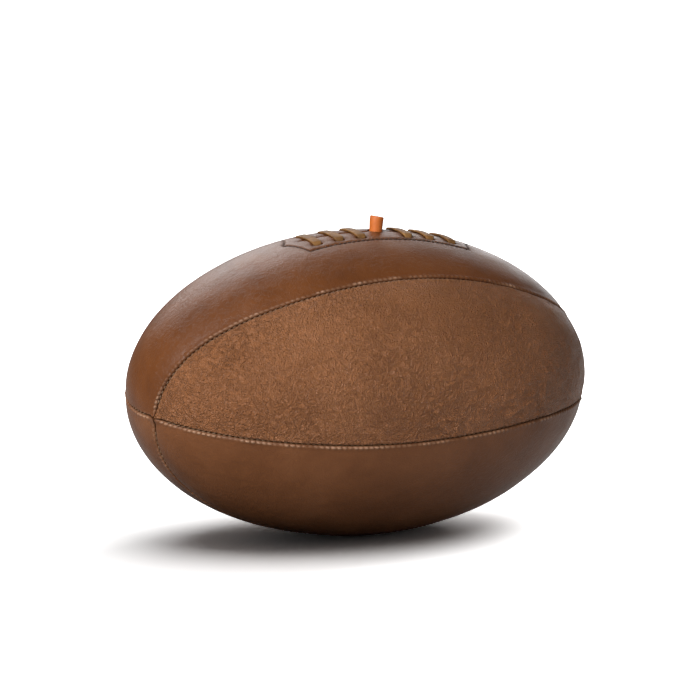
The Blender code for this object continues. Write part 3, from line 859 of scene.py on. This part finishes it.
def rubber(name, colour, rough, dust):
    """Moulded rubber, a little cloudy, with some dust on it."""
    n = Nodes(name)
    cloud = n.noise(240.0, 4.0, 0.6)
    worn = n.ramp(cloud, (0.35, tuple(c * 0.82 for c in colour)), (0.7, colour))
    worn = n.mix(n.maths("MULTIPLY", n.noise(900.0, 3.0, 0.7), dust), worn, DUST)
    normal = n.bump(n.noise(2200.0, 3.0, 0.7), 0.00008, 0.5)
    return n.finish(worn, rough, normal)


def canvas():
    """Plain-weave cotton."""
    n = Nodes("lining_canvas")
    warp, weft = (n.add("ShaderNodeTexWave", {"Vector": n.coordinates, "Scale": CANVAS_THREADS},
                        bands_direction=axis).outputs["Fac"] for axis in "XZ")
    weave = n.maths("MAXIMUM", warp, weft)
    colour = n.mix(weave, (0.34, 0.28, 0.19), (0.66, 0.58, 0.43))
    return n.finish(colour, 0.9, n.bump(weave, 0.0003, 0.7))


def suede():
    """The flesh side of undyed leather."""
    n = Nodes("suede_leather")
    nap = n.noise(700.0, 5.0, 0.7)
    colour = n.ramp(nap, (0.3, (0.18, 0.095, 0.045)), (0.7, (0.38, 0.23, 0.12)))
    return n.finish(colour, 0.92, n.bump(nap, 0.0004, 0.6))


def set_material(node, material):
    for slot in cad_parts[node].material_slots:
        slot.material = material


def stand_in(piece, node, body):
    """Let a piece stand for a CAD node and move with a body."""
    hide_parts(node)
    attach(piece, body)


# ---- build the ball -----------------------------------------------------------------
LEATHERS = {
    # panel: dark, middle and light colour, roughness, grain, coat
    "top": ((0.088, 0.028, 0.008), (0.118, 0.038, 0.010), (0.145, 0.050, 0.015),
            0.38, SMOOTH, 0.04),
    "front": ((0.200, 0.075, 0.026), (0.235, 0.091, 0.033), (0.275, 0.111, 0.044),
              0.42, PEBBLED, 0.0),
    "bottom": ((0.105, 0.037, 0.012), (0.135, 0.049, 0.017), (0.160, 0.061, 0.023),
               0.42, SMOOTH, 0.04),
    "back": ((0.112, 0.040, 0.014), (0.145, 0.054, 0.020), (0.170, 0.068, 0.027),
             0.43, SMOOTH, 0.04),
}
for panel, finish in LEATHERS.items():
    piece = build_panel(panel, leather("leather_" + panel, *finish))
    if panel == "top":
        cut_lacing(piece)
    stand_in(piece, "panel_" + panel, "ball")

seam_linen = thread_material("seam_linen", (0.20, 0.115, 0.060), (0.10, 0.055, 0.028))
for seam in SEAMS:
    piece = mesh_object("seam_stitches_" + seam, *seam_stitches(seam), seam_linen)
    stand_in(piece, "seam_thread_" + seam, "ball")

dark_linen = thread_material("dark_linen", (0.060, 0.036, 0.026), (0.022, 0.014, 0.010))
piece = mesh_object("facing_stitches", *facing_stitches(), dark_linen)
stand_in(piece, "lace_facing_thread", "ball")

thong = thong_leather()
for name, side in (("left", -1), ("right", 1)):
    piece = build_lace("lace_thong_" + name, side, thong)
    stand_in(piece, "lace_" + name, "ball")

piece = build_stem(rubber("stem_rubber", (0.52, 0.120, 0.008), 0.58, 0.02))
stand_in(piece, "valve_stem", "valve")

weave = canvas()
for panel in PANELS:
    set_material("lining_" + panel, weave)
rough = suede()
set_material("lace_facing", rough)
set_material("tongue", rough)
black = rubber("bladder_latex", (0.060, 0.052, 0.048), 0.6, 0.12)
set_material("bladder", black)
build_neck(black)
set_material("valve_core", rubber("core_rubber", (0.030, 0.030, 0.032), 0.5, 0.05))


# ---- studio -------------------------------------------------------------------------
FLOOR_SEEN = 1.60                   # how pale the floor is to the camera
FLOOR_BOUNCE = 0.42                 # and to the light that it throws back
FLOOR_HALF_SIDE = 8
WORLD_STRENGTH = 0.12
CAMERA_AZIMUTH = radians(-26.0)
CAMERA_ELEVATION = radians(9.0)
CAMERA_DISTANCE = 2.2
SENSOR_WIDTH = 0.036
LENS = 0.18697
AIM_LEFT = 0.0053                   # the point looked at, from the ball's centre
AIM_UP = 0.0196
MM_PER_M = 1000.0
LAMPS = {
    # name: azimuth, elevation, radiance, and where they aren't the usual, side and distance
    "key": (-40, 32, 7.3),
    "front": (-8, 28, 3.2),
    "right": (55, 14, 0.6),
    "gleam": (-31, 27, 60.0, 0.35),
    "shoulder": (-154, 38, 3.2),
    "back": (-180, 24, 1.0),
    "rim": (166, 10, 1.7, 0.9),
}
FLOOR_LAMPS = {
    "floor_wash": (70, 82, 2.0, 2.3, 1.5),
    "floor_glow": (137, 38, 5.0, 1.0, 1.4),
}


def direction(azimuth, elevation):
    """A unit vector from the ball; azimuth 0 is towards -Y and turns towards +X."""
    level = cos(elevation)
    return Vector((sin(azimuth) * level, -cos(azimuth) * level, sin(elevation)))


def add_camera():
    back = direction(CAMERA_AZIMUTH, CAMERA_ELEVATION)
    right = (-back).cross(Vector((0, 0, 1))).normalized()
    up = right.cross(-back)
    centre = Vector(CENTRE)
    place = centre + back * CAMERA_DISTANCE
    target = centre - right * AIM_LEFT + up * AIM_UP
    data = bpy.data.cameras.new("camera")
    data.sensor_width = MM_PER_M * SENSOR_WIDTH
    data.lens = MM_PER_M * LENS
    data.clip_start = 0.1
    data.clip_end = 50.0
    camera = bpy.data.objects.new("camera", data)
    camera.location = place
    camera.rotation_euler = (target - place).to_track_quat("-Z", "Y").to_euler()
    bpy.context.scene.collection.objects.link(camera)
    bpy.context.scene.camera = camera


def add_area(name, azimuth, elevation, radiance, side=1.5, away=2.4):
    """A square softbox aimed at the ball; azimuth turns from the camera's side to its right."""
    towards = direction(CAMERA_AZIMUTH + radians(azimuth), radians(elevation))
    data = bpy.data.lights.new(name, "AREA")
    data.shape = "SQUARE"
    data.size = side
    data.energy = radiance * pi * side * side
    lamp = bpy.data.objects.new(name, data)
    lamp.visible_camera = False
    lamp.location = Vector(CENTRE) + away * towards
    lamp.rotation_euler = (-towards).to_track_quat("-Z", "Y").to_euler()
    bpy.context.scene.collection.objects.link(lamp)
    return lamp


def light_only(lamp, item, state):
    """Limit a lamp to one object, or keep it off that object."""
    receivers = bpy.data.collections.new(lamp.name + "_receivers")
    receivers.objects.link(item)
    receivers.collection_objects[0].light_linking.link_state = state
    lamp.light_linking.receiver_collection = receivers


def add_floor():
    """A pale floor that looks white but throws only soft light back at the ball."""
    n = Nodes("studio_floor")
    seen = n.add("ShaderNodeLightPath").outputs["Is Camera Ray"]
    shade = n.maths("MULTIPLY_ADD", seen, FLOOR_SEEN - FLOOR_BOUNCE, FLOOR_BOUNCE)
    colour = n.add("ShaderNodeCombineColor", {"Red": shade, "Green": shade, "Blue": shade})
    matt = n.add("ShaderNodeBsdfDiffuse", {"Color": colour.outputs["Color"]})
    away = n.add("ShaderNodeVectorMath", {0: n.coordinates}, operation="LENGTH").outputs["Value"]
    # Past the shadow the floor also glows to the camera, so that it is white up to its edge.
    far = n.add("ShaderNodeMapRange", {"Value": away, "From Min": 0.35, "From Max": 1.0})
    strength = n.maths("MULTIPLY", far.outputs["Result"], seen)
    glow = n.add("ShaderNodeEmission", {"Strength": strength})
    both = n.add("ShaderNodeAddShader", {0: matt.outputs["BSDF"], 1: glow.outputs["Emission"]})
    n.put(n.tree.nodes["Material Output"].inputs["Surface"], both.outputs["Shader"])
    mesh = bpy.data.meshes.new("floor")
    corners = [(x * FLOOR_HALF_SIDE, y * FLOOR_HALF_SIDE, 0)
               for x, y in ((-1, -1), (1, -1), (1, 1), (-1, 1))]
    mesh.from_pydata(corners, [], [(0, 1, 2, 3)])
    mesh.materials.append(n.material)
    floor = bpy.data.objects.new("floor", mesh)
    bpy.context.scene.collection.objects.link(floor)
    return floor


def add_world():
    world = bpy.data.worlds.new("studio")
    bpy.context.scene.world = world
    world.use_nodes = True
    background = world.node_tree.nodes["Background"]
    background.inputs["Color"].default_value = (1.0, 1.0, 1.0, 1.0)
    background.inputs["Strength"].default_value = WORLD_STRENGTH


bpy.context.scene.view_settings.view_transform = "Standard"
add_camera()
floor = add_floor()
add_world()
for name, settings in LAMPS.items():
    light_only(add_area(name, *settings), floor, "EXCLUDE")
for name, settings in FLOOR_LAMPS.items():
    light_only(add_area(name, *settings), floor, "INCLUDE")
